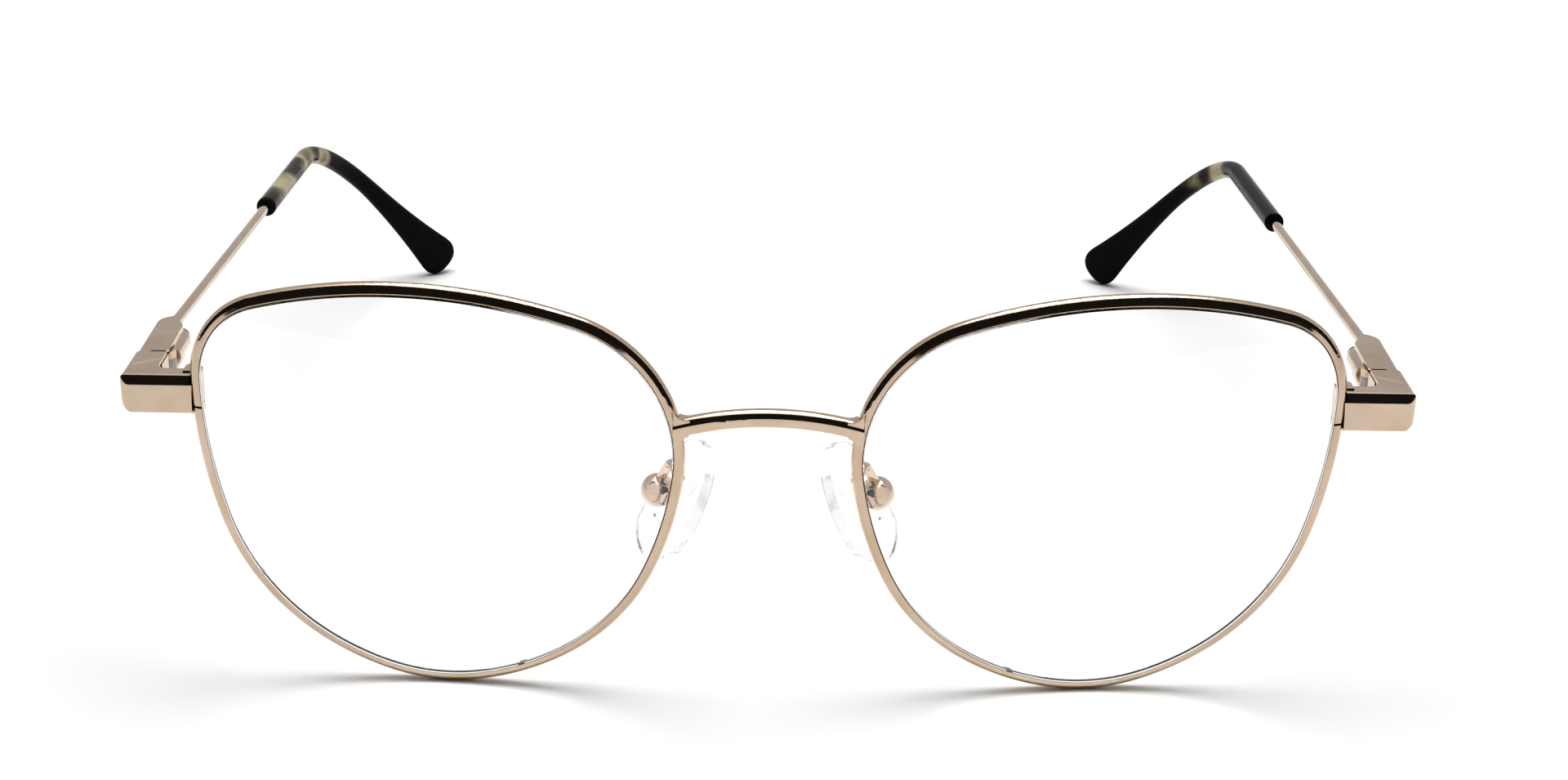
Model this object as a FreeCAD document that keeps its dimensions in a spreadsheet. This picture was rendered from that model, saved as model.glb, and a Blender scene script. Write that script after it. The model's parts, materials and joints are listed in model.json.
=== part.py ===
import FreeCAD, Part
import math
import os
import Sketcher

# Metal-rimmed spectacles with spring hinges, adjustable nose pads and acetate
# temple tips.  Frame: +X to the wearer's left, +Y towards the ears, +Z up; the
# glasses stand on the bottoms of both rims and on the ends of both temple tips.
# Left-hand pieces are modelled; the right-hand ones are their mirror images.

V = FreeCAD.Vector
P = FreeCAD.Placement
R = FreeCAD.Rotation

os.makedirs("parts", exist_ok=True)
doc = FreeCAD.newDocument("spectacles")
sheet = doc.addObject("Spreadsheet::Sheet", "dims")

SIZES = [
    # where the front stands and how it leans (mm, degrees)
    ("front_shift", -68.62, "from the middle of the glasses to the foot of the rims"),
    ("front_tilt", 4.4, "lean of the front, its top forwards"),
    ("front_wrap", 4.0, "turn of each rim about its upright middle line"),
    ("lens_middle_x", 35.95, "lens middle from the plane of symmetry"),
    ("lens_middle_up", 23.143, "lens middle above the rim foot, along the front"),
    ("base_radius", 120.0, "radius of the sphere that both lens and rim follow"),
    # eyewire and lens
    ("wire_width", 1.24, "eyewire across the front"),
    ("wire_depth", 1.7, "eyewire from front to back"),
    ("wire_round", 0.8, "rounding of the outer edges of the eyewire"),
    ("lip_round", 0.2, "rounding of the inner edges of the eyewire"),
    ("bevel_depth", 0.35, "height of the lens bevel inside the groove"),
    ("bevel_width", 0.9, "width of the lens bevel"),
    ("bevel_play", 0.04, "space left round the bevel"),
    ("lens_thickness", 2.0, "lens from front to back"),
    ("rim_gap", 0.25, "saw cut that opens the eyewire for the lens"),
    ("rim_gap_up", 9.1, "height of that cut above the lens middle"),
    ("braze", 0.03, "film between brazed pieces"),
    # bridge
    ("bridge_depth", 1.9, "bridge bar from front to back"),
    ("bridge_front", 2.1, "bar's front face ahead of the rim foot plane"),
    ("bridge_round", 0.88, "rounding of the bar"),
    # endpiece
    ("block_height", 4.2, "height of the endpiece block"),
    ("block_foot", 31.7, "underside of the endpiece"),
    ("block_bevel", 1.05, "height of the bevel along the top front edge"),
    # hinge
    ("pin_x", 66.7, "hinge pin from the plane of symmetry"),
    ("pin_back", 8.9, "hinge pin behind the rim foot"),
    ("pin_up", 34.0, "middle of the hinge"),
    ("temple_toe", -0.66, "inward turn of the temples; these open slightly outwards"),
    ("knuckle_dia", 2.2, "outside diameter of the hinge barrel"),
    ("barrel_height", 3.0, "whole barrel, three knuckles"),
    ("middle_height", 1.0, "middle knuckle, on the slider"),
    ("pin_dia", 1.0, "hinge screw shank"),
    ("pin_play", 0.02, "radial play of the hinge screw"),
    ("head_dia", 1.7, "hinge screw head"),
    ("head_height", 0.42, "hinge screw head"),
    # spring mechanism
    ("bore_dia", 1.9, "spring bore in the housing"),
    ("bore_length", 7.7, "spring bore in the housing"),
    ("rod_dia", 0.8, "slider rod"),
    ("rod_length", 6.0, "slider rod behind its tongue"),
    ("coil_dia", 1.3, "mean diameter of the spring"),
    ("coil_wire", 0.25, "spring wire"),
    ("coil_pitch", 0.56, "spring pitch"),
    ("coil_length", 4.4, "spring, first to last coil centre"),
    ("stop_dia", 1.7, "stop nut on the rod"),
    ("stop_length", 0.9, "stop nut on the rod"),
    ("housing_height", 3.7, "spring housing"),
    ("housing_length", 11.7, "spring housing, joint face to rear end"),
    ("housing_width", 3.3, "spring housing across its flat top"),
    # temple
    ("temple_dia", 1.3, "temple wire"),
    ("temple_slope", 4.35, "fall of the temple wire towards the ear"),
    ("temple_run", 96.6, "straight run of the temple wire"),
    ("bend_radius", 24.0, "ear bend"),
    ("bend_angle", 62.7, "ear bend"),
    ("drop_run", 18.275, "straight run behind the ear bend"),
    ("bend_lean", 36.8, "inward lean of the ear bend's plane"),
    ("tip_start", 64.5, "start of the acetate tip, along the wire"),
    ("tip_dia", 2.65, "front end of the acetate tip"),
    ("paddle_width", 6.2, "widest part of the acetate tip"),
    ("paddle_thick", 2.5, "thickness of the acetate tip there"),
    # nose pads
    ("ball_x", 12.2, "pad box from the plane of symmetry"),
    ("ball_back", 3.8, "pad box behind the rim foot"),
    ("ball_up", 22.0, "pad box above the rim foot"),
    ("ball_dia", 3.8, "pad box"),
    ("arm_dia", 1.1, "pad arm wire"),
    ("pad_length", 15.0, "nose pad"),
    ("pad_width", 8.4, "nose pad"),
    ("pad_thickness", 2.7, "nose pad"),
    ("pad_drop", 1.3, "pad middle below its screw"),
    ("pad_stand", 2.3, "pad back face from its screw"),
    ("screw_dia", 1.0, "rim and pad screws"),
]
for row, (alias, value, note) in enumerate(SIZES, start=1):
    sheet.set("A%d" % row, note)
    sheet.set("B%d" % row, str(value))
    sheet.setAlias("B%d" % row, alias)
doc.recompute()


def d(alias):
    return float(sheet.get(alias))


# ---------------------------------------------------------------- helpers
def bind(obj, **exprs):
    for prop, text in exprs.items():
        obj.setExpression(prop, text)
    return obj


def prim(kind, name, place=None, **exprs):
    obj = doc.addObject("Part::" + kind, name)
    bind(obj, **exprs)
    obj.Placement = place or P()
    return obj


def box(name, corner, sx, sy, sz):
    obj = doc.addObject("Part::Box", name)
    for prop, value in (("Length", sx), ("Width", sy), ("Height", sz)):
        if isinstance(value, str):
            obj.setExpression(prop, value)
        else:
            setattr(obj, prop, value)
    obj.Placement = P(V(*corner), R())
    return obj


ALONG = {
    "x": R(V(0, 1, 0), 90),
    "y": R(V(1, 0, 0), -90),
    "z": R(),
}


def rod(name, base, axis, radius, height):
    obj = doc.addObject("Part::Cylinder", name)
    for prop, value in (("Radius", radius), ("Height", height)):
        if isinstance(value, str):
            obj.setExpression(prop, value)
        else:
            setattr(obj, prop, value)
    obj.Placement = P(V(*base), ALONG[axis])
    return obj


def fuse(name, *parts):
    obj = doc.addObject("Part::MultiFuse", name)
    obj.Shapes = list(parts)
    obj.Refine = True
    return obj


def cut(name, base, tool):
    obj = doc.addObject("Part::Cut", name)
    obj.Base = base
    obj.Tool = tool
    return obj


def cut_all(name, base, *tools):
    for i, tool in enumerate(tools):
        last = i == len(tools) - 1
        base = cut(name if last else "%s_step%d" % (name, i), base, tool)
    return base


def round_edges(name, base, pick, radius):
    doc.recompute()
    obj = doc.addObject("Part::Fillet", name)
    obj.Base = base
    found = [i for i, e in enumerate(base.Shape.Edges, start=1) if pick(e)]
    obj.Edges = [(i, radius, radius) for i in found]
    return obj


def body(name):
    obj = doc.addObject("PartDesign::Body", name)
    obj.Label = name
    return obj


def sketch(owner, name, role="XY_Plane", offset=None):
    sk = owner.newObject("Sketcher::SketchObject", name)
    plane = [f for f in owner.Origin.OriginFeatures if f.Role == role][0]
    sk.AttachmentSupport = [(plane, "")]
    sk.MapMode = "FlatFace"
    if offset is not None:
        sk.AttachmentOffset = offset
    return sk


def line(sk, a, b):
    sk.addGeometry(Part.LineSegment(V(a[0], a[1], 0), V(b[0], b[1], 0)), False)


def arc3(sk, a, m, b):
    arc = Part.Arc(V(a[0], a[1], 0), V(m[0], m[1], 0), V(b[0], b[1], 0))
    sk.addGeometry(arc, False)


def chain(sk, points):
    # closed outline: a plain point is joined by a line, ("arc", m, b) by an arc
    here = points[0]
    for item in points[1:]:
        if item[0] == "arc":
            arc3(sk, here, item[1], item[2])
            here = item[2]
        else:
            line(sk, here, item)
            here = item


def circle(sk, x, y, radius_expr, radius):
    i = sk.addGeometry(Part.Circle(V(x, y, 0), V(0, 0, 1), radius), False)
    c = sk.addConstraint(Sketcher.Constraint("Radius", i, radius))
    sk.renameConstraint(c, "radius_%d" % i)
    sk.setExpression("Constraints.radius_%d" % i, radius_expr)
    return i


def pad(owner, name, sk, length):
    f = owner.newObject("PartDesign::Pad", name)
    f.Profile = sk
    if isinstance(length, str):
        f.setExpression("Length", length)
    else:
        f.Length = length
    return f


# ------------------------------------------------- lens outline, left lens
# Five corner circles (x outwards, y up, radius) about the lens middle, and the
# radius of the long arc that joins each to the next, anticlockwise from the
# outer top corner.  Every arc meets its neighbours tangentially.
CORNERS = [
    (16.4, 12.6, 9.5),
    (-9.8, 5.6, 16.5),
    (-1.0, 1.9, 24.0),
    (-0.5, -2.0, 20.5),
    (-2.0, 3.9, 26.5),
]
SIDES = [55.0, 40.0, 27.0, 30.0, 62.0]


def side_centre(a, b, big):
    da = big - a[2]
    db = big - b[2]
    dx = b[0] - a[0]
    dy = b[1] - a[1]
    gap = math.hypot(dx, dy)
    t = (da * da - db * db + gap * gap) / (2 * gap)
    s = math.sqrt(da * da - t * t)
    return (a[0] + (t * dx - s * dy) / gap, a[1] + (t * dy + s * dx) / gap)


def outline_arcs(offset, corners=CORNERS, sides=SIDES):
    n = len(corners)
    centres = []
    for i in range(n):
        centres.append(side_centre(corners[i], corners[(i + 1) % n], sides[i]))
    arcs = []
    for i in range(n):
        here = corners[i]
        into = centres[i - 1]
        outof = centres[i]
        start = math.atan2(here[1] - into[1], here[0] - into[0])
        end = math.atan2(here[1] - outof[1], here[0] - outof[0])
        arcs.append((here[0], here[1], here[2] + offset, start, end))
        nxt = corners[(i + 1) % n]
        stop = math.atan2(nxt[1] - outof[1], nxt[0] - outof[0])
        arcs.append((outof[0], outof[1], sides[i] + offset, end, stop))
    return arcs


def draw_outline(sk, offset, corners=CORNERS, sides=SIDES):
    for x, y, radius, start, end in outline_arcs(offset, corners, sides):
        while end < start:
            end += 2 * math.pi
        mid = (start + end) / 2
        pts = [(x + radius * math.cos(t), y + radius * math.sin(t)) for t in (start, mid, end)]
        arc3(sk, *pts)


# The lens frame: x outwards, y up along the front, z out of the front face.
TILT = d("front_tilt")
FRONT = P(V(0, d("front_shift"), 0), R(V(1, 0, 0), 90 + TILT))
SAG = d("lens_middle_up") ** 2 / (2 * d("base_radius"))
LENS = FRONT.multiply(
    P(V(d("lens_middle_x"), d("lens_middle_up"), SAG), R(V(0, 1, 0), d("front_wrap")))
)
PLAIN = P(V(0, d("front_shift"), 0), R())


def trim_sphere(owner, name, radius_expr, radius, front):
    # turned cut that leaves only what lies inside (front) or outside (back)
    # a sphere centred one base radius behind the lens
    big = d("base_radius")
    sk = sketch(owner, name + "_sketch", "XZ_Plane")
    reach = 48.0
    top = -big + radius
    low = -big + math.sqrt(radius * radius - reach * reach)
    half = math.asin(reach / radius) / 2
    mid = (radius * math.sin(half), -big + radius * math.cos(half))
    far = 8.0 if front else -26.0
    arc3(sk, (0, top), mid, (reach, low))
    line(sk, (reach, low), (reach, far))
    line(sk, (reach, far), (0, far))
    line(sk, (0, far), (0, top))
    c = sk.addConstraint(Sketcher.Constraint("Radius", 0, radius))
    sk.renameConstraint(c, "curve")
    sk.setExpression("Constraints.curve", radius_expr)
    g = owner.newObject("PartDesign::Groove", name)
    g.Profile = sk
    g.ReferenceAxis = (sk, ["V_Axis"])
    g.Angle = 360
    return g


def curved_disc(name, outer, depth_expr, depth, inner=None):
    # a slab of the given outline whose faces are two concentric spheres
    b = body(name)
    sk = sketch(b, name + "_outline", "XY_Plane", P(V(0, 0, -22), R()))
    draw_outline(sk, outer)
    if inner is not None:
        draw_outline(sk, inner)
    pad(b, name + "_slab", sk, 26.0)
    big = d("base_radius")
    trim_sphere(b, name + "_front", "dims.base_radius + (%s) / 2" % depth_expr,
                big + depth / 2, True)
    trim_sphere(b, name + "_back", "dims.base_radius - (%s) / 2" % depth_expr,
                big - depth / 2, False)
    return b


def on_outline(edge, offset):
    # does this edge run along the outline at that offset?
    pt = edge.valueAt((edge.FirstParameter + edge.LastParameter) / 2)
    best = 1e9
    for x, y, radius, start, end in outline_arcs(offset):
        a = math.atan2(pt.y - y, pt.x - x)
        span = (end - start) % (2 * math.pi)
        if (a - start) % (2 * math.pi) <= span + 1e-6:
            best = min(best, abs(math.hypot(pt.x - x, pt.y - y) - radius))
    return best < 0.02


parts = {}


def keep(name, obj, place=None):
    obj.Label = name
    if place is not None:
        obj.Placement = place
    parts[name] = obj
    return obj


# ---------------------------------------------------------------- eyewire
half_wire = d("wire_width") / 2
ring = curved_disc("eyewire_ring", half_wire, "dims.wire_depth", d("wire_depth"), -half_wire)
doc.recompute()


def dress(owner, name, kind, edges, size_expr, size):
    # fillet or chamfer on chosen edges of a body's tip
    doc.recompute()
    tip = owner.Tip
    found = ["Edge%d" % i for i, e in enumerate(tip.Shape.Edges, start=1) if edges(e)]
    f = owner.newObject("PartDesign::" + kind, name)
    f.Base = (tip, found)
    if kind == "Fillet":
        f.Radius = size
        f.setExpression("Radius", size_expr)
    else:
        f.Size = size
        f.setExpression("Size", size_expr)
    return f


dress(ring, "eyewire_outer_round", "Fillet", lambda e: on_outline(e, half_wire),
      "dims.wire_round", d("wire_round"))
dress(ring, "eyewire_lip_round", "Fillet", lambda e: on_outline(e, -half_wire),
      "dims.lip_round", d("lip_round"))

core_edge = -half_wire - d("bevel_play")
bevel_edge = -half_wire + d("bevel_depth") - d("bevel_play")
groove = curved_disc("groove_tool", bevel_edge + d("bevel_play"),
                     "dims.bevel_width + 2 * dims.bevel_play",
                     d("bevel_width") + 2 * d("bevel_play"))
dress(groove, "groove_slopes", "Chamfer",
      lambda e: on_outline(e, bevel_edge + d("bevel_play")),
      "dims.bevel_depth - 0.02", d("bevel_depth") - 0.02)
gap = box("rim_gap_tool", (20.0, d("rim_gap_up"), -8.0), 10.0, "dims.rim_gap", 12.0)
wire_left = cut_all("eyewire_cut", ring, groove, gap)
keep("eyewire_left", wire_left, LENS)

# ---------------------------------------------------------------- lens
core = curved_disc("lens_core", core_edge, "dims.lens_thickness", d("lens_thickness"))
bevel = curved_disc("lens_bevel", bevel_edge, "dims.bevel_width", d("bevel_width"))
dress(bevel, "lens_bevel_slopes", "Chamfer", lambda e: on_outline(e, bevel_edge),
      "dims.bevel_depth - 0.02", d("bevel_depth") - 0.02)
lens = fuse("lens_whole", core, bevel)
keep("lens_left", lens, LENS)

# room that brazed pieces leave for the eyewire
film = d("braze")
room = curved_disc("eyewire_room", half_wire + film, "dims.wire_depth + 2 * dims.braze",
                   d("wire_depth") + 2 * film, -half_wire - film)
room.Placement = LENS
room_right = doc.addObject("Part::Mirroring", "eyewire_room_right")
room_right.Source = room
room_right.Normal = V(1, 0, 0)

# ---------------------------------------------------------------- bridge
# arched bar with flared feet that overlap the fronts of both eyewires
b = body("bridge_bar")
back = d("bridge_front") - d("bridge_depth")
sk = sketch(b, "bridge_sketch", "XY_Plane", P(V(0, 0, back), R()))
chain(sk, [
    (-10.2, 31.05),
    ("arc", (0, 32.6), (10.2, 31.05)),
    (10.2, 33.2),
    ("arc", (0, 34.65), (-10.2, 33.2)),
    (-10.2, 31.05),
])
pad(b, "bridge_pad", sk, "dims.bridge_depth")
feet = body("bridge_feet")
sk = sketch(feet, "feet_sketch", "XY_Plane", P(V(0, 0, back + 0.2), R()))
for side in (-1, 1):
    chain(sk, [
        (side * 8.4, 32.4),
        (side * 8.4, 33.45),
        ("arc", (side * 9.5, 33.65), (side * 10.15, 34.3)),
        (side * 10.15, 30.2),
        (side * 9.75, 30.2),
        ("arc", (side * 9.4, 31.0), (side * 8.5, 31.6)),
        (side * 8.4, 32.4),
    ])
pad(feet, "feet_pad", sk, "dims.bridge_depth - 0.35")


def long_bar_edge(e):
    # the long upper and lower edges of the bar, front and back
    box_ = e.BoundBox
    return box_.XLength > 12 and box_.ZLength < 0.01


dress(b, "bridge_round_edges", "Fillet", long_bar_edge, "dims.bridge_round", d("bridge_round"))
bar = fuse("bridge_blank", b, feet)
bar.Placement = FRONT
keep("bridge", cut_all("bridge_cut", bar, room, room_right))

# ---------------------------------------------------------------- endpiece
# block beside the rim that turns back into the arm carrying the front hinge
b = body("endpiece_block")
sk = sketch(b, "endpiece_plan", "XY_Plane", P(V(0, 0, d("block_foot")), R()))
chain(sk, [
    (61.2, -0.5),
    (68.7, -0.5),
    ("arc", (69.5, -0.17), (69.85, 0.6)),
    (69.5, 7.05),
    (66.15, 7.05),
    (66.15, 3.1),
    ("arc", (65.8, 2.3), (65.0, 1.95)),
    (61.2, 1.95),
    (61.2, -0.5),
])
pad(b, "endpiece_pad", sk, "dims.block_height")
sk = sketch(b, "endpiece_bevel_sketch", "YZ_Plane", P(V(0, 0, 60), R()))
top = d("block_foot") + d("block_height")
chain(sk, [(-1.0, top - d("block_bevel")), (-0.5, top - d("block_bevel")),
           (0.1, top - 0.12), (0.1, top + 1), (-1.0, top + 1),
           (-1.0, top - d("block_bevel"))])
f = b.newObject("PartDesign::Pocket", "endpiece_bevel")
f.Profile = sk
f.Length = 12
f.Reversed = True


sk = sketch(b, "endpiece_corner_sketch", "XZ_Plane")
chain(sk, [(68.7, 31.0), (68.7, 31.7), ("arc", (69.38, 32.2), (69.7, 33.2)),
           (69.75, 35.1), ("arc", (69.62, 35.65), (69.2, 35.9)), (69.2, 36.5),
           (71.0, 36.5), (71.0, 31.0), (68.7, 31.0)])
f = b.newObject("PartDesign::Pocket", "endpiece_corner")
f.Profile = sk
f.Type = 1
f.Midplane = True
lock_room = box("lock_room", (60.0, 0.82, 28.0), 3.15, 5.0, 12.0)
leaf_room = box("leaf_room", (66.0, 3.95, 34.0 - 1.53), 1.18, 5.0, 3.06)
# shallow slanting notch across the top of the arm, its rear wall facing forwards
facet = box("arm_facet", (0, 0, 0), 3.9, 2.0, 2.0)
facet.Placement = P(V(65.6, 5.15, top - 0.16), R(V(0, 0, 1), -35).multiply(R(V(1, 0, 0), 18)))
b.Placement = PLAIN
for tool in (lock_room, leaf_room, facet):
    tool.Placement = PLAIN.multiply(tool.Placement)
keep("endpiece_left", cut_all("endpiece_cut", b, lock_room, leaf_room, facet, room))

# ---------------------------------------------------------------- rim lock
# closing block in two halves behind the cut in the eyewire, drawn together by
# the rim screw
LOCK_X = 62.0
LOCK_Y = 2.05
SPLIT = 32.4
LOCK_FOOT = 31.45


def lock_half(name, low, high, hole_dia):
    blank = box(name + "_blank", (LOCK_X - 1.12, 0.85, low), 2.24, 2.3, high - low)
    rounded = round_edges(name + "_round", blank, lambda e: e.BoundBox.ZLength > 0.5
                          and e.BoundBox.YMin > 3.0, 0.7)
    hole = rod(name + "_hole", (LOCK_X, LOCK_Y, low - 1), "z", hole_dia / 2, high - low + 2)
    rounded.Placement = PLAIN
    hole.Placement = PLAIN.multiply(hole.Placement)
    return cut_all(name + "_cut", rounded, hole, room)


keep("rim_lock_upper_left", lock_half("rim_lock_upper", SPLIT + 0.08, 36.05, 1.04))
keep("rim_lock_lower_left", lock_half("rim_lock_lower", LOCK_FOOT, SPLIT - 0.08, 1.1))
shank = rod("rim_screw_shank", (0, 0, 0), "z", "dims.screw_dia / 2", 4.15)
head = rod("rim_screw_head", (0, 0, -0.45), "z", 0.95, 0.45)
slot = box("rim_screw_slot", (-1.2, -0.14, -0.75), 2.4, 0.28, 0.5)
screw = cut("rim_screw_cut", fuse("rim_screw_blank", shank, head), slot)
keep("rim_screw_left", screw,
     P(V(LOCK_X, LOCK_Y + d("front_shift"), LOCK_FOOT - 0.02), R()))

# ---------------------------------------------------------------- hinge
# hinge frame: x outwards, y back along the temple, z up, origin on the pin
PIN = V(d("pin_x"), d("pin_back") + d("front_shift"), d("pin_up"))
AT_PIN = P(PIN, R())
TEMPLE = P(PIN, R(V(0, 0, 1), d("temple_toe")))
half_barrel = d("barrel_height") / 2
half_middle = d("middle_height") / 2

# front leaf: plate let into the endpiece arm, with an upper and a lower knuckle
plate = box("leaf_plate", (-0.66, -4.9, -half_barrel), 1.1, 3.75, "dims.barrel_height")
neck = box("leaf_neck", (-0.66, -1.8, -half_barrel), 1.1, 1.8, "dims.barrel_height")
barrel = rod("leaf_barrel", (0, 0, -half_barrel), "z", "dims.knuckle_dia / 2",
             "dims.barrel_height")
leaf = fuse("leaf_blank", plate, neck, barrel)
mid_room = rod("leaf_mid_room", (0, 0, -half_middle - 0.05), "z",
               "dims.knuckle_dia / 2 + 0.12", "dims.middle_height + 0.1")
bore = rod("leaf_bore", (0, 0, -3), "z", "dims.pin_dia / 2 + dims.pin_play", 6.0)
sink = rod("leaf_sink", (0, 0, -half_barrel + d("head_height") + 0.03 - 2.0), "z",
           "dims.head_dia / 2 + 0.05", 2.0)
keep("front_hinge_left", cut_all("front_hinge_cut", leaf, mid_room, bore, sink), AT_PIN)

# hinge screw, put in from below, with its slotted head sunk in the lower knuckle
shank = rod("hinge_screw_shank", (0, 0, -half_barrel + d("head_height")), "z",
            "dims.pin_dia / 2", "dims.barrel_height - dims.head_height")
head = rod("hinge_screw_head", (0, 0, -half_barrel), "z",
           "dims.head_dia / 2", "dims.head_height")
slot = box("hinge_screw_slot", (-1.2, -0.13, -half_barrel - 0.28), 2.4, 0.26, 0.5)
keep("hinge_screw_left",
     cut("hinge_screw_cut", fuse("hinge_screw_blank", shank, head), slot), AT_PIN)

# slider: middle knuckle, square tongue and the rod that carries the spring
TONGUE = 3.0
knuckle = rod("slider_knuckle", (0, 0, -half_middle), "z", "dims.knuckle_dia / 2",
              "dims.middle_height")
tongue = box("slider_tongue", (-0.5, 0, -half_middle), 1.0, TONGUE, "dims.middle_height")
stem = rod("slider_rod", (0, TONGUE - 0.2, 0), "y", "dims.rod_dia / 2", "dims.rod_length + 0.2")
pin_room = rod("slider_pin_room", (0, 0, -3), "z", "dims.pin_dia / 2 + dims.pin_play", 6.0)
keep("hinge_slider_left",
     cut("slider_cut", fuse("slider_blank", knuckle, tongue, stem), pin_room), TEMPLE)

# guide bush pressed in the front of the bore; the tongue slides through it
GUIDE = (1.75, 3.0)
ring_ = rod("guide_ring", (0, GUIDE[0], 0), "y", "dims.bore_dia / 2 - 0.02",
            GUIDE[1] - GUIDE[0])
square = box("guide_square", (-0.54, 0, -0.54), 1.08, 6.0, 1.08)
keep("slider_guide_left", cut("guide_cut", ring_, square), TEMPLE)

# coil spring round the rod, between the guide and the stop nut
b = body("spring_coil")
sk = sketch(b, "spring_wire", "XZ_Plane")
circle(sk, d("coil_dia") / 2, 0, "dims.coil_wire / 2", d("coil_wire") / 2)
f = b.newObject("PartDesign::AdditiveHelix", "spring_turns")
f.Profile = sk
f.ReferenceAxis = (sk, ["V_Axis"])
f.Mode = 0
f.setExpression("Pitch", "dims.coil_pitch")
f.setExpression("Height", "dims.coil_length")
SPRING = TEMPLE.multiply(P(V(0, GUIDE[1] + 0.17, 0), R(V(1, 0, 0), -90)))
keep("hinge_spring_left", b, SPRING)

# stop nut riveted on the end of the rod
stop_at = GUIDE[1] + 0.17 + d("coil_length") + 0.17
nut = rod("stop_nut", (0, stop_at, 0), "y", "dims.stop_dia / 2", "dims.stop_length")
hole = rod("stop_hole", (0, stop_at - 1, 0), "y", "dims.rod_dia / 2 + 0.02", 4.0)
keep("spring_stop_left", cut("stop_cut", nut, hole), TEMPLE)

# spring housing: flat-topped box with a rounded belly over the bore, a thin lid
# over the hinge barrel and a short neck into which the temple wire is brazed
OUTER = 2.7
JOINT = -1.7
REAR = JOINT + d("housing_length")
half_h = d("housing_height") / 2
b = body("housing_box")
sk = sketch(b, "housing_plan", "XY_Plane", P(V(0, 0, -half_h), R()))
chain(sk, [
    (1.32, JOINT),
    (OUTER, JOINT),
    (OUTER, REAR - 2.0),
    ("arc", (2.3, REAR - 0.7), (1.5, REAR)),
    (0.9, REAR),
    ("arc", (0.1, REAR - 1.7), (-0.55, REAR - 3.2)),
    (-0.6, 1.55),
    (1.32, 1.55),
    (1.32, JOINT),
])
pad(b, "housing_pad", sk, "dims.housing_height")


def housing_edge(e):
    box_ = e.BoundBox
    flat = box_.ZLength < 0.01
    return flat and box_.XMin > 1.4 and box_.YMax > 2 and abs(box_.ZMax) > 1


dress(b, "housing_round", "Fillet", housing_edge, "0.35", 0.35)
belly = body("housing_belly")
sk = sketch(belly, "belly_profile", "XY_Plane")
BELLY = 1.25
BELLY_END = REAR - 1.85
corner = BELLY * math.sqrt(0.5)
chain(sk, [
    (0, 1.57),
    (BELLY, 1.57),
    (BELLY, BELLY_END - BELLY),
    ("arc", (corner, BELLY_END - BELLY + corner), (0, BELLY_END)),
    (0, 1.57),
])
f = belly.newObject("PartDesign::Revolution", "belly_turned")
f.Profile = sk
f.ReferenceAxis = (sk, ["V_Axis"])
f.Angle = 360
NECK_X = 1.85
WIRE_DIR = R(V(1, 0, 0), -90 - d("temple_slope"))
WIRE_IN = P(V(NECK_X, REAR - 1.2, 0.05), WIRE_DIR)
LID = 0.24
lid = body("housing_lid")
sk = sketch(lid, "lid_plan", "XY_Plane", P(V(0, 0, half_h - LID), R()))
chain(sk, [
    (1.4, -1.4),
    (1.4, 1.6),
    (-0.6, 1.6),
    (-0.6, -0.9),
    ("arc", (-0.45, -1.25), (-0.1, -1.4)),
    (1.4, -1.4),
])
pad(lid, "lid_pad", sk, LID)
cone = prim("Cone", "housing_neck", P(V(NECK_X, REAR - 0.8, 0.05), WIRE_DIR))
cone.Radius1 = 0.95
cone.Radius2 = 0.8
cone.Height = 4.4
shell = fuse("housing_blank", b, belly, cone)
bore = rod("housing_bore", (0, 1.0, 0), "y", "dims.bore_dia / 2", "dims.bore_length + 0.55")
socket = prim("Cylinder", "housing_socket", WIRE_IN, Radius="dims.temple_dia / 2 + 0.02")
socket.Height = 8.0
swing = rod("housing_swing", (0, 0, -3), "z", "dims.knuckle_dia / 2 + 0.2", 6.0)
opened = cut_all("housing_cut", shell, bore, socket, swing)
keep("spring_housing_left", fuse("housing_with_lid", opened, lid), TEMPLE)

# ---------------------------------------------------------------- temple
# wire frame: z along the wire at its start, x towards the fall of the ear bend
down = R(V(1, 0, 0), -d("temple_slope"))
lean = math.radians(d("bend_lean"))
AXES = R(V(-math.sin(lean), 0, -math.cos(lean)), V(-math.cos(lean), 0, math.sin(lean)),
         V(0, 1, 0), "ZXY")
WIRE = TEMPLE.multiply(P(V(NECK_X, REAR - 1.15, 0.05), down)).multiply(P(V(), AXES))
RUN = d("temple_run")
BEND = math.radians(d("bend_angle"))
BR = d("bend_radius")
DROP = d("drop_run")


def path_point(s):
    # point and direction angle at a length s along the wire
    if s <= RUN:
        return (0.0, s, 0.0)
    if s <= RUN + BR * BEND:
        a = (s - RUN) / BR
        return (BR * (1 - math.cos(a)), RUN + BR * math.sin(a), a)
    t = s - RUN - BR * BEND
    x = BR * (1 - math.cos(BEND)) + t * math.sin(BEND)
    z = RUN + BR * math.sin(BEND) + t * math.cos(BEND)
    return (x, z, BEND)


def draw_path(sk, until):
    # sketch on the XZ plane: fall across, run upwards
    total = RUN + BR * BEND
    a = path_point(RUN)
    m = path_point(RUN + BR * BEND / 2)
    c = path_point(total)
    e = path_point(until)
    line(sk, (0, 0), (a[0], a[1]))
    arc3(sk, (a[0], a[1]), (m[0], m[1]), (c[0], c[1]))
    line(sk, (c[0], c[1]), (e[0], e[1]))


FULL = RUN + BR * BEND + DROP
b = body("temple_core")
spine = sketch(b, "temple_spine", "XZ_Plane")
draw_path(spine, FULL - 6.0)
sk = sketch(b, "temple_section", "XY_Plane")
circle(sk, 0, 0, "dims.temple_dia / 2", d("temple_dia") / 2)
f = b.newObject("PartDesign::AdditivePipe", "temple_pipe")
f.Profile = sk
f.Spine = (spine, ["Edge1", "Edge2", "Edge3"])
keep("temple_wire_left", b, WIRE)

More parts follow.
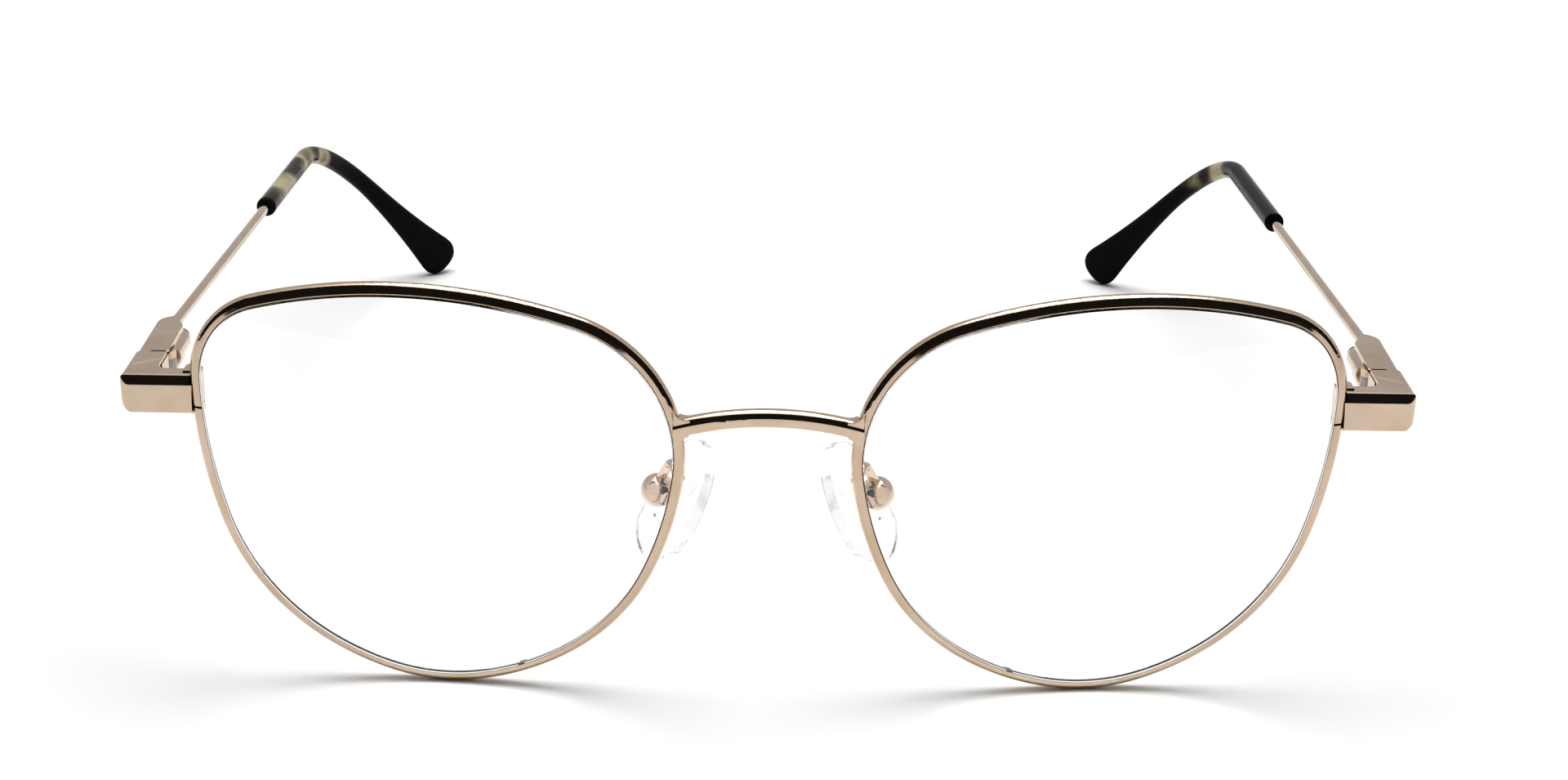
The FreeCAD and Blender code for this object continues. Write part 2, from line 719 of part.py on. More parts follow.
# acetate tip: round where it starts, flattening into a paddle behind the ear
b = body("tip_body")
round_dia = d("tip_dia")
FLARE = 24.0
END_WIDE = 2.3
END_THICK = 1.1
UPRIGHT = WIRE.Rotation.inverted().multVec(V(0, 0, 1))


def rounded_by(s, radius):
    # how much a section near the end shrinks to round it with this radius
    beyond = max(0.0, s - FULL + radius)
    return 2 * (radius - math.sqrt(max(radius ** 2 - beyond ** 2, 0.0)))


def tip_size(s):
    # upright width and sideways thickness at a length s along the wire
    part_way = max(0.0, (s - FULL + FLARE) / (FLARE - 3.0))
    grow = min(part_way, 1.0) ** 2
    wide = round_dia + 0.002 + (d("paddle_width") - round_dia) * grow
    thick = round_dia + (d("paddle_thick") - round_dia) * grow
    return (wide - rounded_by(s, END_WIDE), thick - rounded_by(s, END_THICK))


def across(s):
    # placement of a section: x upright, y sideways, z along the wire
    x, z, a = path_point(s)
    ahead = V(math.sin(a), 0, math.cos(a))
    wide_way = UPRIGHT - ahead * UPRIGHT.dot(ahead)
    wide_way.normalize()
    return P(V(x, 0, z), R(wide_way, ahead.cross(wide_way), ahead, "ZXY"))


# sections evenly spaced down the wire, then ever closer to the rounded end
EVEN = 16
step = (FULL - 6.0 - d("tip_start")) / EVEN
stations = [d("tip_start") + step * i for i in range(EVEN + 1)]
END_GAPS = [4.2, 3.0, 2.2, 1.6, 1.15, 0.8, 0.5, 0.27, 0.12, 0.03]
stations += [FULL - left_over for left_over in END_GAPS]
rings = []
for i, s in enumerate(stations):
    wide, thick = tip_size(s)
    sk = sketch(b, "tip_section_%d" % i, "XY_Plane", across(s))
    sk.addGeometry(Part.Ellipse(V(0, 0, 0), wide / 2, thick / 2), False)
    rings.append(sk)
f = b.newObject("PartDesign::AdditiveLoft", "tip_loft")
f.Profile = rings[0]
f.Sections = rings[1:]
doc.recompute()


edge_blank = rod("tip_edge_blank", (0, 0, d("tip_start") - 0.05), "z", 3.0, 0.4)
edge_keep = prim("Cone", "tip_edge_keep", P(V(0, 0, d("tip_start") - 0.05), R()))
edge_keep.Radius1 = d("tip_dia") / 2 - 0.33
edge_keep.Radius2 = d("tip_dia") / 2 + 0.07
edge_keep.Height = 0.4
edge = cut("tip_edge", edge_blank, edge_keep)
core_room = body("tip_core_room")
spine = sketch(core_room, "core_room_spine", "XZ_Plane")
draw_path(spine, FULL - 5.95)
sk = sketch(core_room, "core_room_section", "XY_Plane")
circle(sk, 0, 0, "dims.temple_dia / 2 + 0.03", d("temple_dia") / 2 + 0.03)
f = core_room.newObject("PartDesign::AdditivePipe", "core_room_pipe")
f.Profile = sk
f.Spine = (spine, ["Edge1", "Edge2", "Edge3"])
keep("temple_tip_left", cut_all("tip_cut", b, edge, core_room), WIRE)

# ---------------------------------------------------------------- nose pads
# pad frame: origin on the pad screw, x along the screw (towards the front),
# y up along the pad, z towards the nose
BALL = V(d("ball_x"), d("ball_back") + d("front_shift"), d("ball_up"))
LONG = V(-0.43, 0, 0.903)
LONG.normalize()
NOSE = V(-0.766, 0.643, -0.365)
NOSE = NOSE - LONG * NOSE.dot(LONG)
NOSE.normalize()
AXIS = LONG.cross(NOSE)
PAD = P(BALL, R(AXIS, LONG, NOSE, "ZXY"))
ball_r = d("ball_dia") / 2

ball = prim("Sphere", "pad_box_ball", None, Radius="dims.ball_dia / 2")
face = box("pad_box_face", (-3, -3, 1.15), 6.0, 6.0, 3.0)
slit = box("pad_box_slit", (-0.66, -1.15, -1.0), 1.32, 2.3, 4.0)
hole = rod("pad_box_hole", (-3, 0, 0), "x", "dims.screw_dia / 2 + 0.02", 6.0)
sink = rod("pad_box_sink", (1.25, 0, 0), "x", 0.85, 3.0)
keep("pad_box_left", cut_all("pad_box_cut", ball, face, slit, hole, sink), PAD)

shank = rod("pad_screw_shank", (-1.7, 0, 0), "x", "dims.screw_dia / 2", 3.0)
head = rod("pad_screw_head", (1.27, 0, 0), "x", 0.8, 0.4)
slot = box("pad_screw_slot", (1.47, -1.2, -0.13), 1.0, 2.4, 0.26)
keep("pad_screw_left", cut("pad_screw_cut", fuse("pad_screw_blank", shank, head), slot), PAD)

# hard insert: plate buried in the soft pad and a lug that the screw crosses
stand = d("pad_stand")
plate = box("insert_plate", (-1.7, -d("pad_drop") - 3.0, stand + 0.9), 3.4, 6.4, 0.7)
lug = box("insert_lug", (-0.6, -0.85, -0.85), 1.2, 1.7, stand + 2.0)
lug = round_edges("insert_lug_round", lug, lambda e: e.BoundBox.XLength > 1
                  and e.BoundBox.ZMax < 0, 0.8)
insert = fuse("insert_blank", plate, lug)
hole = rod("insert_hole", (-3, 0, 0), "x", "dims.screw_dia / 2 + dims.pin_play", 6.0)
keep("pad_insert_left", cut("insert_cut", insert, hole), PAD)

# soft pad: oval cushion moulded round the insert
b = body("pad_cushion")
sk = sketch(b, "pad_outline", "XY_Plane", P(V(0, -d("pad_drop"), stand), R()))
hl = d("pad_length") / 2
ENDS = [(0, -hl + 3.9, 3.9), (0, hl - 2.9, 2.9)]
draw_outline(sk, 0, ENDS, [18.0, 18.0])
pad(b, "pad_pad", sk, "dims.pad_thickness")


def rim_of_pad(e):
    return e.BoundBox.ZLength < 0.01


dress(b, "pad_round", "Fillet", rim_of_pad, "1.1", 1.1)
plate_room = box("plate_room", (-1.73, -d("pad_drop") - 3.03, stand + 0.87), 3.46, 6.46, 0.76)
lug_room = box("lug_room", (-0.63, -0.88, stand - 1.0), 1.26, 1.76, 2.2)
keep("nose_pad_left", cut("pad_cut", b, fuse("insert_room", plate_room, lug_room)), PAD)

# pad arm: wire brazed to the back of the eyewire, arched up and over to the pad
# box.  Arm frame: origin in the pad box, x level towards the eyewire, y up.
TOWARDS = V(-2.75, -6.2, 0)
TOWARDS.normalize()
ARM = P(BALL, R(TOWARDS, V(0, 0, 1), TOWARDS.cross(V(0, 0, 1)), "ZXY"))
ARM_START = 6.77
ARM_LEVEL = 3.7
ARM_BENDS = [(3.9, 4.9)]
ARM_END = (0.0, 0.9)
BEND_INSIDE = 1.35


def bent_wire(sk, start, bends, end, radius):
    # straight runs joined by tangent arcs of one radius
    here = start
    stops = bends + [end]
    for corner, beyond in zip(stops, stops[1:]):
        way_in = V(corner[0] - here[0], corner[1] - here[1], 0).normalize()
        way_out = V(beyond[0] - corner[0], beyond[1] - corner[1], 0).normalize()
        turn = way_in.getAngle(way_out)
        reach = radius * math.tan(turn / 2)
        at = V(corner[0], corner[1], 0)
        first = at - way_in * reach
        last = at + way_out * reach
        inward = (way_out - way_in).normalize()
        middle = at + inward * (radius / math.cos(turn / 2) - radius)
        line(sk, here, (first.x, first.y))
        arc3(sk, (first.x, first.y), (middle.x, middle.y), (last.x, last.y))
        here = (last.x, last.y)
    line(sk, here, end)


b = body("pad_arm_wire")
spine = sketch(b, "arm_spine", "XY_Plane")
bent_wire(spine, (ARM_START, ARM_LEVEL), ARM_BENDS, ARM_END, BEND_INSIDE)
sk = sketch(b, "arm_section", "YZ_Plane", P(V(0, 0, ARM_START), R()))
circle(sk, ARM_LEVEL, 0, "dims.arm_dia / 2", d("arm_dia") / 2)
f = b.newObject("PartDesign::AdditivePipe", "arm_pipe")
f.Profile = sk
f.Spine = (spine, ["Edge%d" % i for i in range(1, 2 * len(ARM_BENDS) + 2)])
b.Placement = ARM
ball_room = prim("Sphere", "pad_arm_ball_room", P(BALL, R()), Radius="dims.ball_dia / 2 + 0.03")
keep("pad_arm_left", cut_all("pad_arm_cut", b, room, ball_room))

# ---------------------------------------------------------------- right side
for name in [n for n in parts if n.endswith("_left")]:
    twin = doc.addObject("Part::Mirroring", name.replace("_left", "_right") + "_mirror")
    twin.Source = parts[name]
    twin.Normal = V(1, 0, 0)
    keep(name.replace("_left", "_right"), twin)

doc.recompute()

# ---------------------------------------------------------------- checks, export
bad = []
for obj in doc.Objects:
    if "Invalid" in obj.State or "Error" in obj.State:
        bad.append(obj.Name + " " + " ".join(obj.State))
for name, obj in parts.items():
    shape = obj.Shape
    if shape.isNull() or not shape.isValid():
        bad.append(name + " shape is null or not valid")
    elif len(shape.Solids) != 1:
        bad.append("%s has %d solids" % (name, len(shape.Solids)))
if bad:
    raise RuntimeError("; ".join(bad))
for name, obj in sorted(parts.items()):
    obj.Shape.exportStep("parts/%s.step" % name)
boxes = [p.Shape.optimalBoundingBox(False, False) for p in parts.values()]
whole = boxes[0]
for each in boxes[1:]:
    whole.add(each)
print("parts:", len(parts))
print("box: x %.3f..%.3f y %.3f..%.3f z %.3f..%.3f" % (
    whole.XMin, whole.XMax, whole.YMin, whole.YMax, whole.ZMin, whole.ZMax))
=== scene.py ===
import json
import math

import bmesh
import bpy
from mathutils import Matrix, Vector


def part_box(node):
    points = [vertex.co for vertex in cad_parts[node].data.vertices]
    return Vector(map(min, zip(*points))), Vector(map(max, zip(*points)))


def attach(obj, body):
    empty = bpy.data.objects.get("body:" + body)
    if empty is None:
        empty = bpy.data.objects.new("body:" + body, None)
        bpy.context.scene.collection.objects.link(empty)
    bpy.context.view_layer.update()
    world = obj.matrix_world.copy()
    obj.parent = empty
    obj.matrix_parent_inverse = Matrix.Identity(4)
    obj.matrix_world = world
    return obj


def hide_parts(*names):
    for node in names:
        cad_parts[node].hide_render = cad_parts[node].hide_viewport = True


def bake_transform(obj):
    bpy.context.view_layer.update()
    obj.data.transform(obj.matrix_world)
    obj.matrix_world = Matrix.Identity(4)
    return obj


# Metal-rimmed eyeglasses, opened out and standing on a white table top.
# Everything is in metres, in the CAD frame: +X to the wearer's left, +Y towards the
# ears, +Z up.

MM = 0.001
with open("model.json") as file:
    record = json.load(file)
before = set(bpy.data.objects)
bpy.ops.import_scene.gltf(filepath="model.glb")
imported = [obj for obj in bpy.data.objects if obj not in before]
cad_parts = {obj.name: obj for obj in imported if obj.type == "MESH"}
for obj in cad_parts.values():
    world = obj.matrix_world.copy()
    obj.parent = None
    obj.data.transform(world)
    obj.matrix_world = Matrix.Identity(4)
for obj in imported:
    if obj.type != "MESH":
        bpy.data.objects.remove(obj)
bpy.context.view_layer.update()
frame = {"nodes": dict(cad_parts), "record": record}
nodes = frame["nodes"]


# ------------------------------------------------------------------ materials
class Shader:
    """A material's node tree, with short calls for the nodes that it needs."""

    def __init__(self, name):
        self.material = bpy.data.materials.new(name)
        self.material.use_nodes = True
        self.tree = self.material.node_tree
        self.tree.nodes.clear()
        self.out = self.tree.nodes.new("ShaderNodeOutputMaterial")
        self.surface = self.tree.nodes.new("ShaderNodeBsdfPrincipled")
        self.join(self.surface.outputs[0], self.out.inputs["Surface"])
        where = self.tree.nodes.new("ShaderNodeTexCoord")
        self.place = where.outputs["Object"]

    def join(self, source, target):
        self.tree.links.new(source, target)

    def feed(self, target, value):
        if isinstance(value, bpy.types.NodeSocket):
            self.join(value, target)
        else:
            target.default_value = value

    def set(self, **values):
        for name, value in values.items():
            self.feed(self.surface.inputs[name.replace("_", " ")], value)

    def stretch(self, scale):
        node = self.tree.nodes.new("ShaderNodeMapping")
        self.join(self.place, node.inputs["Vector"])
        node.inputs["Scale"].default_value = scale
        return node.outputs[0]

    def noise(self, scale, detail=3.0, rough=0.55, place=None, twist=0.0):
        node = self.tree.nodes.new("ShaderNodeTexNoise")
        self.join(place or self.place, node.inputs["Vector"])
        node.inputs["Scale"].default_value = scale
        node.inputs["Detail"].default_value = detail
        node.inputs["Roughness"].default_value = rough
        node.inputs["Distortion"].default_value = twist
        return node.outputs["Fac"]

    def ramp(self, value, stops):
        node = self.tree.nodes.new("ShaderNodeValToRGB")
        self.join(value, node.inputs[0])
        band = node.color_ramp
        while len(band.elements) < len(stops):
            band.elements.new(0.5)
        for element, (at, colour) in zip(band.elements, stops):
            element.position = at
            element.color = (*colour, 1.0)
        return node.outputs["Color"]

    def spread(self, value, low, high, to_low, to_high):
        node = self.tree.nodes.new("ShaderNodeMapRange")
        self.join(value, node.inputs["Value"])
        for name, number in zip(("From Min", "From Max", "To Min", "To Max"),
                                (low, high, to_low, to_high)):
            node.inputs[name].default_value = number
        return node.outputs[0]

    def maths(self, kind, a, b):
        node = self.tree.nodes.new("ShaderNodeMath")
        node.operation = kind
        self.feed(node.inputs[0], a)
        self.feed(node.inputs[1], b)
        return node.outputs[0]

    def axis(self, name):
        node = self.tree.nodes.new("ShaderNodeSeparateXYZ")
        self.join(self.place, node.inputs[0])
        return node.outputs[name]

    def bump(self, height, depth, strength=1.0, under=None):
        node = self.tree.nodes.new("ShaderNodeBump")
        node.inputs["Strength"].default_value = strength
        node.inputs["Distance"].default_value = depth
        self.join(height, node.inputs["Height"])
        if under is not None:
            self.join(under, node.inputs["Normal"])
        return node.outputs[0]


def polished_plate(name, dark, mid, light, rough):
    """Electroplated metal: slow drifts of hue, a hazed polish and fine hairlines."""
    s = Shader(name)
    drift = s.noise(160.0, 4.0)
    s.set(Base_Color=s.ramp(drift, [(0.3, dark), (0.5, mid), (0.72, light)]), Metallic=1.0)
    haze = s.noise(900.0, 5.0, 0.65)
    s.set(Roughness=s.spread(haze, 0.3, 0.75, rough * 0.6, rough * 1.7))
    hairs = s.noise(2600.0, 2.0, 0.5, s.stretch((1.0, 0.12, 0.5)))
    swell = s.noise(700.0, 1.0)
    soft = s.bump(swell, 0.012 * MM, 0.35)
    s.set(Normal=s.bump(hairs, 0.002 * MM, 0.25, soft))
    return s.material


# honey clouds in each tip: how far along it, half length (m) and strength
CLOUDS = {
    "right": [(0.16, 0.015, 0.44), (0.47, 0.0065, 0.46), (0.645, 0.0045, 0.44)],
    "left": [(0.665, 0.0090, 0.54)],
}

rose_gold = polished_plate("rose_gold_plate", (0.56, 0.41, 0.285), (0.61, 0.465, 0.345),
                           (0.67, 0.53, 0.41), 0.05)
screw_metal = polished_plate("screw_plate", (0.55, 0.42, 0.33), (0.63, 0.50, 0.40),
                             (0.70, 0.58, 0.48), 0.16)
spring_metal = polished_plate("drawn_steel", (0.26, 0.225, 0.19), (0.31, 0.27, 0.23),
                              (0.37, 0.32, 0.27), 0.22)


def tortoiseshell(side):
    """Near-black acetate with clouds of olive and honey that sit below the polish."""
    s = Shader("tortoiseshell_" + side)
    marbling = s.noise(95.0, 3.0, 0.45, s.stretch((1.0, 0.8, 1.0)), 0.5)
    bent = s.maths("MULTIPLY", s.maths("SUBTRACT", s.noise(130.0, 1.0), 0.5), 0.022)
    along = s.maths("ADD", s.axis("Y"), bent)
    mixed = s.spread(marbling, 0.0, 1.0, 0.2, 0.8)
    low, high = (corner[1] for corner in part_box("temple_tip_" + side))
    for part_way, reach, height in CLOUDS[side]:
        middle = low + (high - low) * part_way
        away = s.maths("ABSOLUTE", s.maths("SUBTRACT", along, middle), 0.0)
        mixed = s.maths("ADD", mixed, s.spread(away, 0.0, reach, height, 0.0))
    grain = s.noise(1500.0, 4.0, 0.6)
    speck = s.maths("MULTIPLY", s.maths("SUBTRACT", grain, 0.5), 0.10)
    mixed = s.maths("ADD", mixed, speck)
    s.set(Base_Color=s.ramp(mixed, [
        (0.62, (0.0036, 0.0040, 0.0036)),
        (0.71, (0.022, 0.017, 0.012)),
        (0.81, (0.125, 0.105, 0.06)),
        (0.93, (0.36, 0.31, 0.19)),
    ]))
    s.set(Roughness=s.spread(s.noise(600.0, 3.0), 0.3, 0.7, 0.10, 0.2), IOR=1.49)
    s.surface.inputs["Specular IOR Level"].default_value = 0.02
    s.set(Normal=s.bump(s.noise(500.0, 2.0), 0.01 * MM, 0.3))
    return s.material


def let_light_through(s, clear=(1.0, 1.0, 1.0)):
    """Lamps shine through the glass onto the table instead of stopping at it."""
    path = s.tree.nodes.new("ShaderNodeLightPath")
    open_ = s.tree.nodes.new("ShaderNodeBsdfTransparent")
    open_.inputs[0].default_value = (*clear, 1.0)
    mix = s.tree.nodes.new("ShaderNodeMixShader")
    s.join(path.outputs["Is Shadow Ray"], mix.inputs[0])
    s.join(s.surface.outputs[0], mix.inputs[1])
    s.join(open_.outputs[0], mix.inputs[2])
    s.join(mix.outputs[0], s.out.inputs["Surface"])


def lens_resin():
    """Clear resin with an anti-reflection coat, and a trace of handling haze."""
    s = Shader("lens_resin")
    s.set(Base_Color=(1.0, 1.0, 1.0, 1.0), IOR=1.5)
    s.surface.inputs["Transmission Weight"].default_value = 1.0
    s.surface.inputs["Specular IOR Level"].default_value = 0.12
    s.set(Roughness=s.spread(s.noise(120.0, 4.0), 0.45, 0.8, 0.0, 0.012))
    let_light_through(s, (0.98, 0.99, 0.985))
    return s.material


def pad_silicone():
    """Soft clear silicone, faintly milky, with a satin skin."""
    s = Shader("pad_silicone")
    s.set(Base_Color=(0.985, 0.99, 0.98, 1.0), IOR=1.28)
    s.surface.inputs["Transmission Weight"].default_value = 1.0
    s.set(Roughness=s.spread(s.noise(900.0, 3.0), 0.3, 0.7, 0.03, 0.10))
    s.set(Normal=s.bump(s.noise(1500.0, 3.0), 0.01 * MM, 0.5))
    let_light_through(s, (0.97, 0.975, 0.965))
    return s.material


lens_material = lens_resin()
silicone = pad_silicone()

MATERIAL_OF_SLOT = {
    "frame_metal": rose_gold,
    "screw_steel": screw_metal,
    "spring_steel": spring_metal,
    "lens_clear": lens_material,
    "pad_silicone": silicone,
    "pad_core": silicone,
}
for part in frame["record"]["subparts"]:
    mesh = nodes[part["node"]].data
    slot = part["material_slot"]
    if slot == "tortoise_acetate":
        finish = tortoiseshell("left" if part["node"].endswith("left") else "right")
    else:
        finish = MATERIAL_OF_SLOT[slot]
    for i in range(len(mesh.materials)):
        mesh.materials[i] = finish


# ------------------------------------------------------------------ lenses
POLE_FACES = 100
WELD = 0.004 * MM


def clean_lens(side):
    """The lens with shading worked out from its own faces, crisp at the bevel.

    The crowded fan of triangles in the middle of each surface becomes one face.
    """
    node = nodes["lens_" + side]
    mesh = bpy.data.meshes.new("lens_resin_" + side)
    work = bmesh.new()
    work.from_mesh(node.data)
    bmesh.ops.remove_doubles(work, verts=work.verts, dist=WELD)
    poles = [v for v in work.verts if len(v.link_faces) > POLE_FACES]
    bmesh.ops.dissolve_verts(work, verts=poles)
    bmesh.ops.recalc_face_normals(work, faces=work.faces)
    for face in work.faces:
        face.smooth = True
    for edge in work.edges:
        edge.smooth = len(edge.link_faces) == 2 and edge.calc_face_angle() < math.radians(20)
    work.to_mesh(mesh)
    work.free()
    mesh.materials.clear()
    mesh.materials.append(lens_material)
    piece = bpy.data.objects.new("lens_resin_" + side, mesh)
    bpy.context.scene.collection.objects.link(piece)
    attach(piece, "front")
    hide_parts("lens_" + side)


for side in ("left", "right"):
    clean_lens(side)


# ------------------------------------------------------------------ temple tips
# path of the left temple wire in mm and degrees: a straight run, a bend, a drop
HINGE = Vector((66.7, -59.72, 34.0))
TOE, FALL, LEAN = (math.radians(a) for a in (-0.66, -4.35, 36.8))
WIRE_START = Vector((1.85, 8.85, 0.05))
RUN, BEND_RADIUS, BEND, DROP = 96.6, 24.0, math.radians(62.7), 18.275
FULL = RUN + BEND_RADIUS * BEND + DROP
CORE_RADIUS = 0.68
CORE_END = FULL - 5.95
TIP_START = 64.5
TIP_DIA = 2.65
PADDLE = (6.2, 2.5)
FLARE = 24.0
END_ROUND = (2.3, 1.1)
AROUND = 64
# length that the rounded end takes up, and how far short of the full length it stops
END_RUN, END_SHORT = 2.6, 0.025
# front edge of the sleeve: distance along the wire, and how far the edge is taken down
FRONT_EDGE = ((0.0, 0.30), (0.06, 0.16), (0.15, 0.06), (0.30, 0.0))
CORE_RINGS, SLEEVE_RINGS, END_RINGS = 70, 110, 22


def wire_at(s):
    """Point, direction and upright at a length s along the left temple wire."""
    if s <= RUN:
        fall, ahead, a = 0.0, s, 0.0
    elif s <= RUN + BEND_RADIUS * BEND:
        a = (s - RUN) / BEND_RADIUS
        fall, ahead = BEND_RADIUS * (1 - math.cos(a)), RUN + BEND_RADIUS * math.sin(a)
    else:
        a = BEND
        rest = s - RUN - BEND_RADIUS * BEND
        fall = BEND_RADIUS * (1 - math.cos(a)) + rest * math.sin(a)
        ahead = RUN + BEND_RADIUS * math.sin(a) + rest * math.cos(a)
    turn = Matrix.Rotation(TOE, 3, "Z")
    tilt = turn @ Matrix.Rotation(FALL, 3, "X")
    inwards_down = Vector((-math.sin(LEAN), 0.0, -math.cos(LEAN)))
    back = Vector((0.0, 1.0, 0.0))
    place = HINGE + turn @ WIRE_START + tilt @ (inwards_down * fall + back * ahead)
    way = tilt @ (inwards_down * math.sin(a) + back * math.cos(a))
    upright = Vector((0.0, 0.0, 1.0))
    upright = (upright - way * upright.dot(way)).normalized()
    return place, way, upright


def tip_size(s):
    """Upright and sideways half sizes of the tip at a length s along the wire."""
    grow = min(max(0.0, (s - FULL + FLARE) / (FLARE - 3.0)), 1.0) ** 2
    sizes = []
    for paddle, radius in zip(PADDLE, END_ROUND):
        beyond = min(max(0.0, s - FULL + radius), radius)
        lost = radius - math.sqrt(radius ** 2 - beyond ** 2)
        sizes.append((TIP_DIA + (paddle - TIP_DIA) * grow) / 2 - lost)
    return sizes


def even(first, last, count):
    """Numbers evenly spaced from first to last."""
    return [first + (last - first) * i / (count - 1) for i in range(count)]


def temple_tip(side):
    """Acetate tip: a drilled sleeve that flattens into a paddle behind the ear."""
    stations = [(s, CORE_RADIUS, CORE_RADIUS)
                for s in even(CORE_END, TIP_START, CORE_RINGS)]
    for along, taken in FRONT_EDGE:
        stations.append((TIP_START + along, *(r - taken for r in tip_size(TIP_START))))
    for s in even(TIP_START + 0.6, FULL - END_RUN, SLEEVE_RINGS):
        stations.append((s, *tip_size(s)))
    for part_way in even(0.0, 1.0, END_RINGS)[1:]:
        s = FULL - END_RUN + (END_RUN - END_SHORT) * math.sin(part_way * math.pi / 2)
        stations.append((s, *tip_size(s)))
    outwards = 1.0 if side == "left" else -1.0
    work = bmesh.new()
    rings = []
    for s, tall, wide in stations:
        place, way, upright = wire_at(s)
        sideways = way.cross(upright)
        ring = []
        for i in range(AROUND):
            a = 2 * math.pi * i / AROUND
            point = place + upright * tall * math.cos(a) + sideways * wide * math.sin(a)
            ring.append(work.verts.new((outwards * point.x * MM, point.y * MM, point.z * MM)))
        rings.append(ring)
    for ring, following in zip(rings, rings[1:]):
        for i in range(AROUND):
            j = (i + 1) % AROUND
            work.faces.new((ring[i], ring[j], following[j], following[i]))
    work.faces.new(rings[0])
    work.faces.new(rings[-1])
    bmesh.ops.recalc_face_normals(work, faces=work.faces)
    for face in work.faces:
        face.smooth = True
    for edge in work.edges:
        edge.smooth = edge.calc_face_angle() < math.radians(50)
    mesh = bpy.data.meshes.new("acetate_tip_" + side)
    work.to_mesh(mesh)
    work.free()
    mesh.materials.append(nodes["temple_tip_" + side].data.materials[0])
    piece = bpy.data.objects.new("acetate_tip_" + side, mesh)
    bpy.context.scene.collection.objects.link(piece)
    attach(piece, side + "_temple")
    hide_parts("temple_tip_" + side)


for side in ("left", "right"):
    temple_tip(side)


# ------------------------------------------------------------------ hinge springs
def coil_spring(side):
    """The spring between the stop nut on the slider and the housing, as a still copy of its
    mesh.
    """
    name = "hinge_spring_" + side
    node = nodes[name]
    mesh = node.data.copy()
    mesh.name = "coil_" + side
    mesh.transform(node.matrix_world)
    piece = bpy.data.objects.new("coil_" + side, mesh)
    bpy.context.scene.collection.objects.link(piece)
    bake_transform(piece)
    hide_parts(name)


for side in ("left", "right"):
    coil_spring(side)


# ------------------------------------------------------------------ table top
def table_top():
    bpy.ops.mesh.primitive_plane_add(size=6.0, location=(0, 3.0 + TABLE_EDGE, 0))
    floor = bpy.context.object
    floor.name = "table_top"
    s = Shader("table_top")
    s.set(Base_Color=s.ramp(s.noise(3.0, 3.0), [(0.3, (0.90, 0.90, 0.895)),
                                                (0.7, (0.93, 0.93, 0.93))]))
    s.set(Roughness=s.spread(s.noise(40.0, 3.0), 0.3, 0.7, 0.5, 0.6))
    floor.data.materials.append(s.material)


TABLE_EDGE = -0.26
table_top()


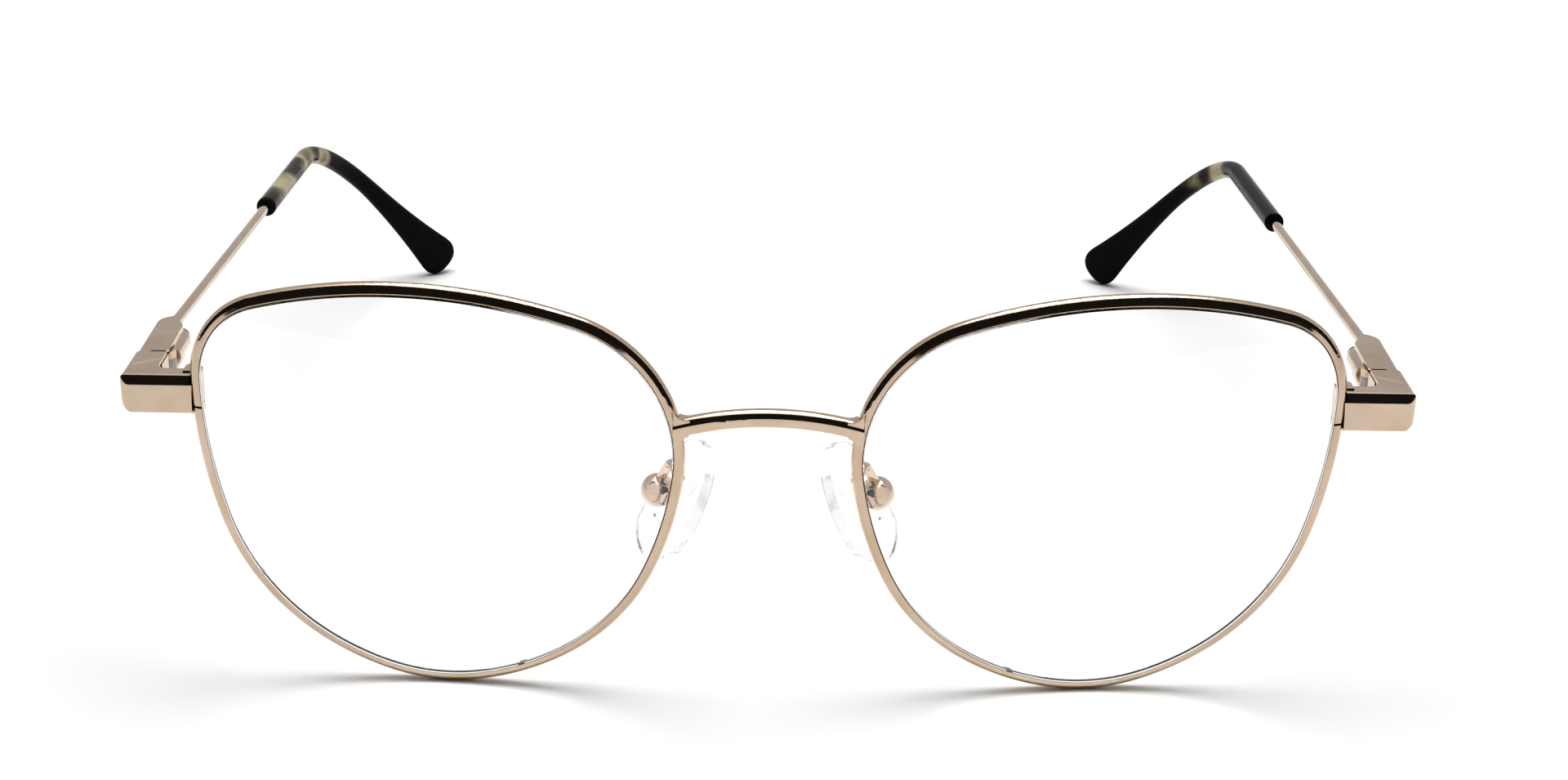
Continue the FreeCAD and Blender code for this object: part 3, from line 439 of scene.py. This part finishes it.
# ------------------------------------------------------------------ light
def studio_world():
    """White tent: bright overhead, a dark room in front beyond the camera."""
    world = bpy.data.worlds.new("studio")
    bpy.context.scene.world = world
    world.use_nodes = True
    tree = world.node_tree
    tree.nodes.clear()
    out = tree.nodes.new("ShaderNodeOutputWorld")
    where = tree.nodes.new("ShaderNodeTexCoord")
    split = tree.nodes.new("ShaderNodeSeparateXYZ")
    tree.links.new(where.outputs["Generated"], split.inputs[0])

    def maths(kind, a, b=0.0, c=0.0):
        node = tree.nodes.new("ShaderNodeMath")
        node.operation = kind
        for socket, value in zip(node.inputs, (a, b, c)):
            if isinstance(value, bpy.types.NodeSocket):
                tree.links.new(value, socket)
            else:
                socket.default_value = value
        return node.outputs[0]

    def step(value, low, high):
        node = tree.nodes.new("ShaderNodeMapRange")
        node.interpolation_type = "SMOOTHSTEP"
        tree.links.new(value, node.inputs["Value"])
        node.inputs["From Min"].default_value = low
        node.inputs["From Max"].default_value = high
        return node.outputs[0]

    x, y, z = split.outputs
    front = maths("MULTIPLY", y, -1.0)
    dark = maths("MULTIPLY", step(z, 0.955, 0.925), step(front, 0.0, 0.10))
    rear = maths("MULTIPLY", step(y, 0.0, 0.3), step(z, 0.85, 0.6))
    overhead = step(z, 0.82, 0.92)
    glow = maths("MULTIPLY_ADD", overhead, OVERHEAD - ROOM, ROOM)
    glow = maths("MULTIPLY", glow, maths("MULTIPLY_ADD", rear, REAR_DIM - 1.0, 1.0))
    lit = maths("MULTIPLY", glow, maths("SUBTRACT", 1.0, maths("MULTIPLY", dark, 0.985)))
    ray = tree.nodes.new("ShaderNodeLightPath")
    seen = tree.nodes.new("ShaderNodeBackground")
    seen.inputs["Color"].default_value = (1.0, 1.0, 1.0, 1.0)
    seen.inputs["Strength"].default_value = 1.0
    lamp = tree.nodes.new("ShaderNodeBackground")
    tree.links.new(lit, lamp.inputs["Strength"])
    mix = tree.nodes.new("ShaderNodeMixShader")
    straight = maths("ADD", ray.outputs["Is Camera Ray"], ray.outputs["Is Transmission Ray"])
    tree.links.new(maths("MINIMUM", straight, 1.0), mix.inputs[0])
    tree.links.new(lamp.outputs[0], mix.inputs[1])
    tree.links.new(seen.outputs[0], mix.inputs[2])
    tree.links.new(mix.outputs[0], out.inputs["Surface"])


ROOM = 1.0
OVERHEAD = 2.4
REAR_DIM = 0.72
studio_world()


def soft_box(name, place, aim, size, watts):
    data = bpy.data.lights.new(name, "AREA")
    data.shape = "RECTANGLE"
    data.size, data.size_y = size
    data.energy = watts
    lamp = bpy.data.objects.new(name, data)
    lamp.location = place
    lamp.rotation_euler = (Vector(aim) - Vector(place)).to_track_quat("-Z", "Y").to_euler()
    bpy.context.scene.collection.objects.link(lamp)


soft_box("overhead_box", (0.05, 0.15, 0.9), (0, 0, 0), (0.7, 0.5), 6.0)


# ------------------------------------------------------------------ camera
def camera():
    """Camera with its yaw, downward pitch and roll in degrees."""
    yaw, pitch, roll = (math.radians(a) for a in (0.454, 21.201, 1.036))
    ahead = Vector((math.sin(yaw) * math.cos(pitch), math.cos(yaw) * math.cos(pitch),
                    -math.sin(pitch)))
    right = Vector((math.cos(yaw), -math.sin(yaw), 0.0))
    up = right.cross(ahead)
    right_r = right * math.cos(roll) + up * math.sin(roll)
    up_r = up * math.cos(roll) - right * math.sin(roll)
    data = bpy.data.cameras.new("camera")
    data.lens = 60.04
    data.sensor_width = 36.0
    data.clip_start = 0.01
    data.clip_end = 20.0
    cam = bpy.data.objects.new("camera", data)
    turn = Matrix((right_r, up_r, -ahead)).transposed().to_4x4()
    cam.matrix_world = Matrix.Translation((-0.00049, -0.33077, 0.13689)) @ turn
    bpy.context.scene.collection.objects.link(cam)
    bpy.context.scene.camera = cam


camera()
bpy.context.scene.view_settings.view_transform = "Standard"
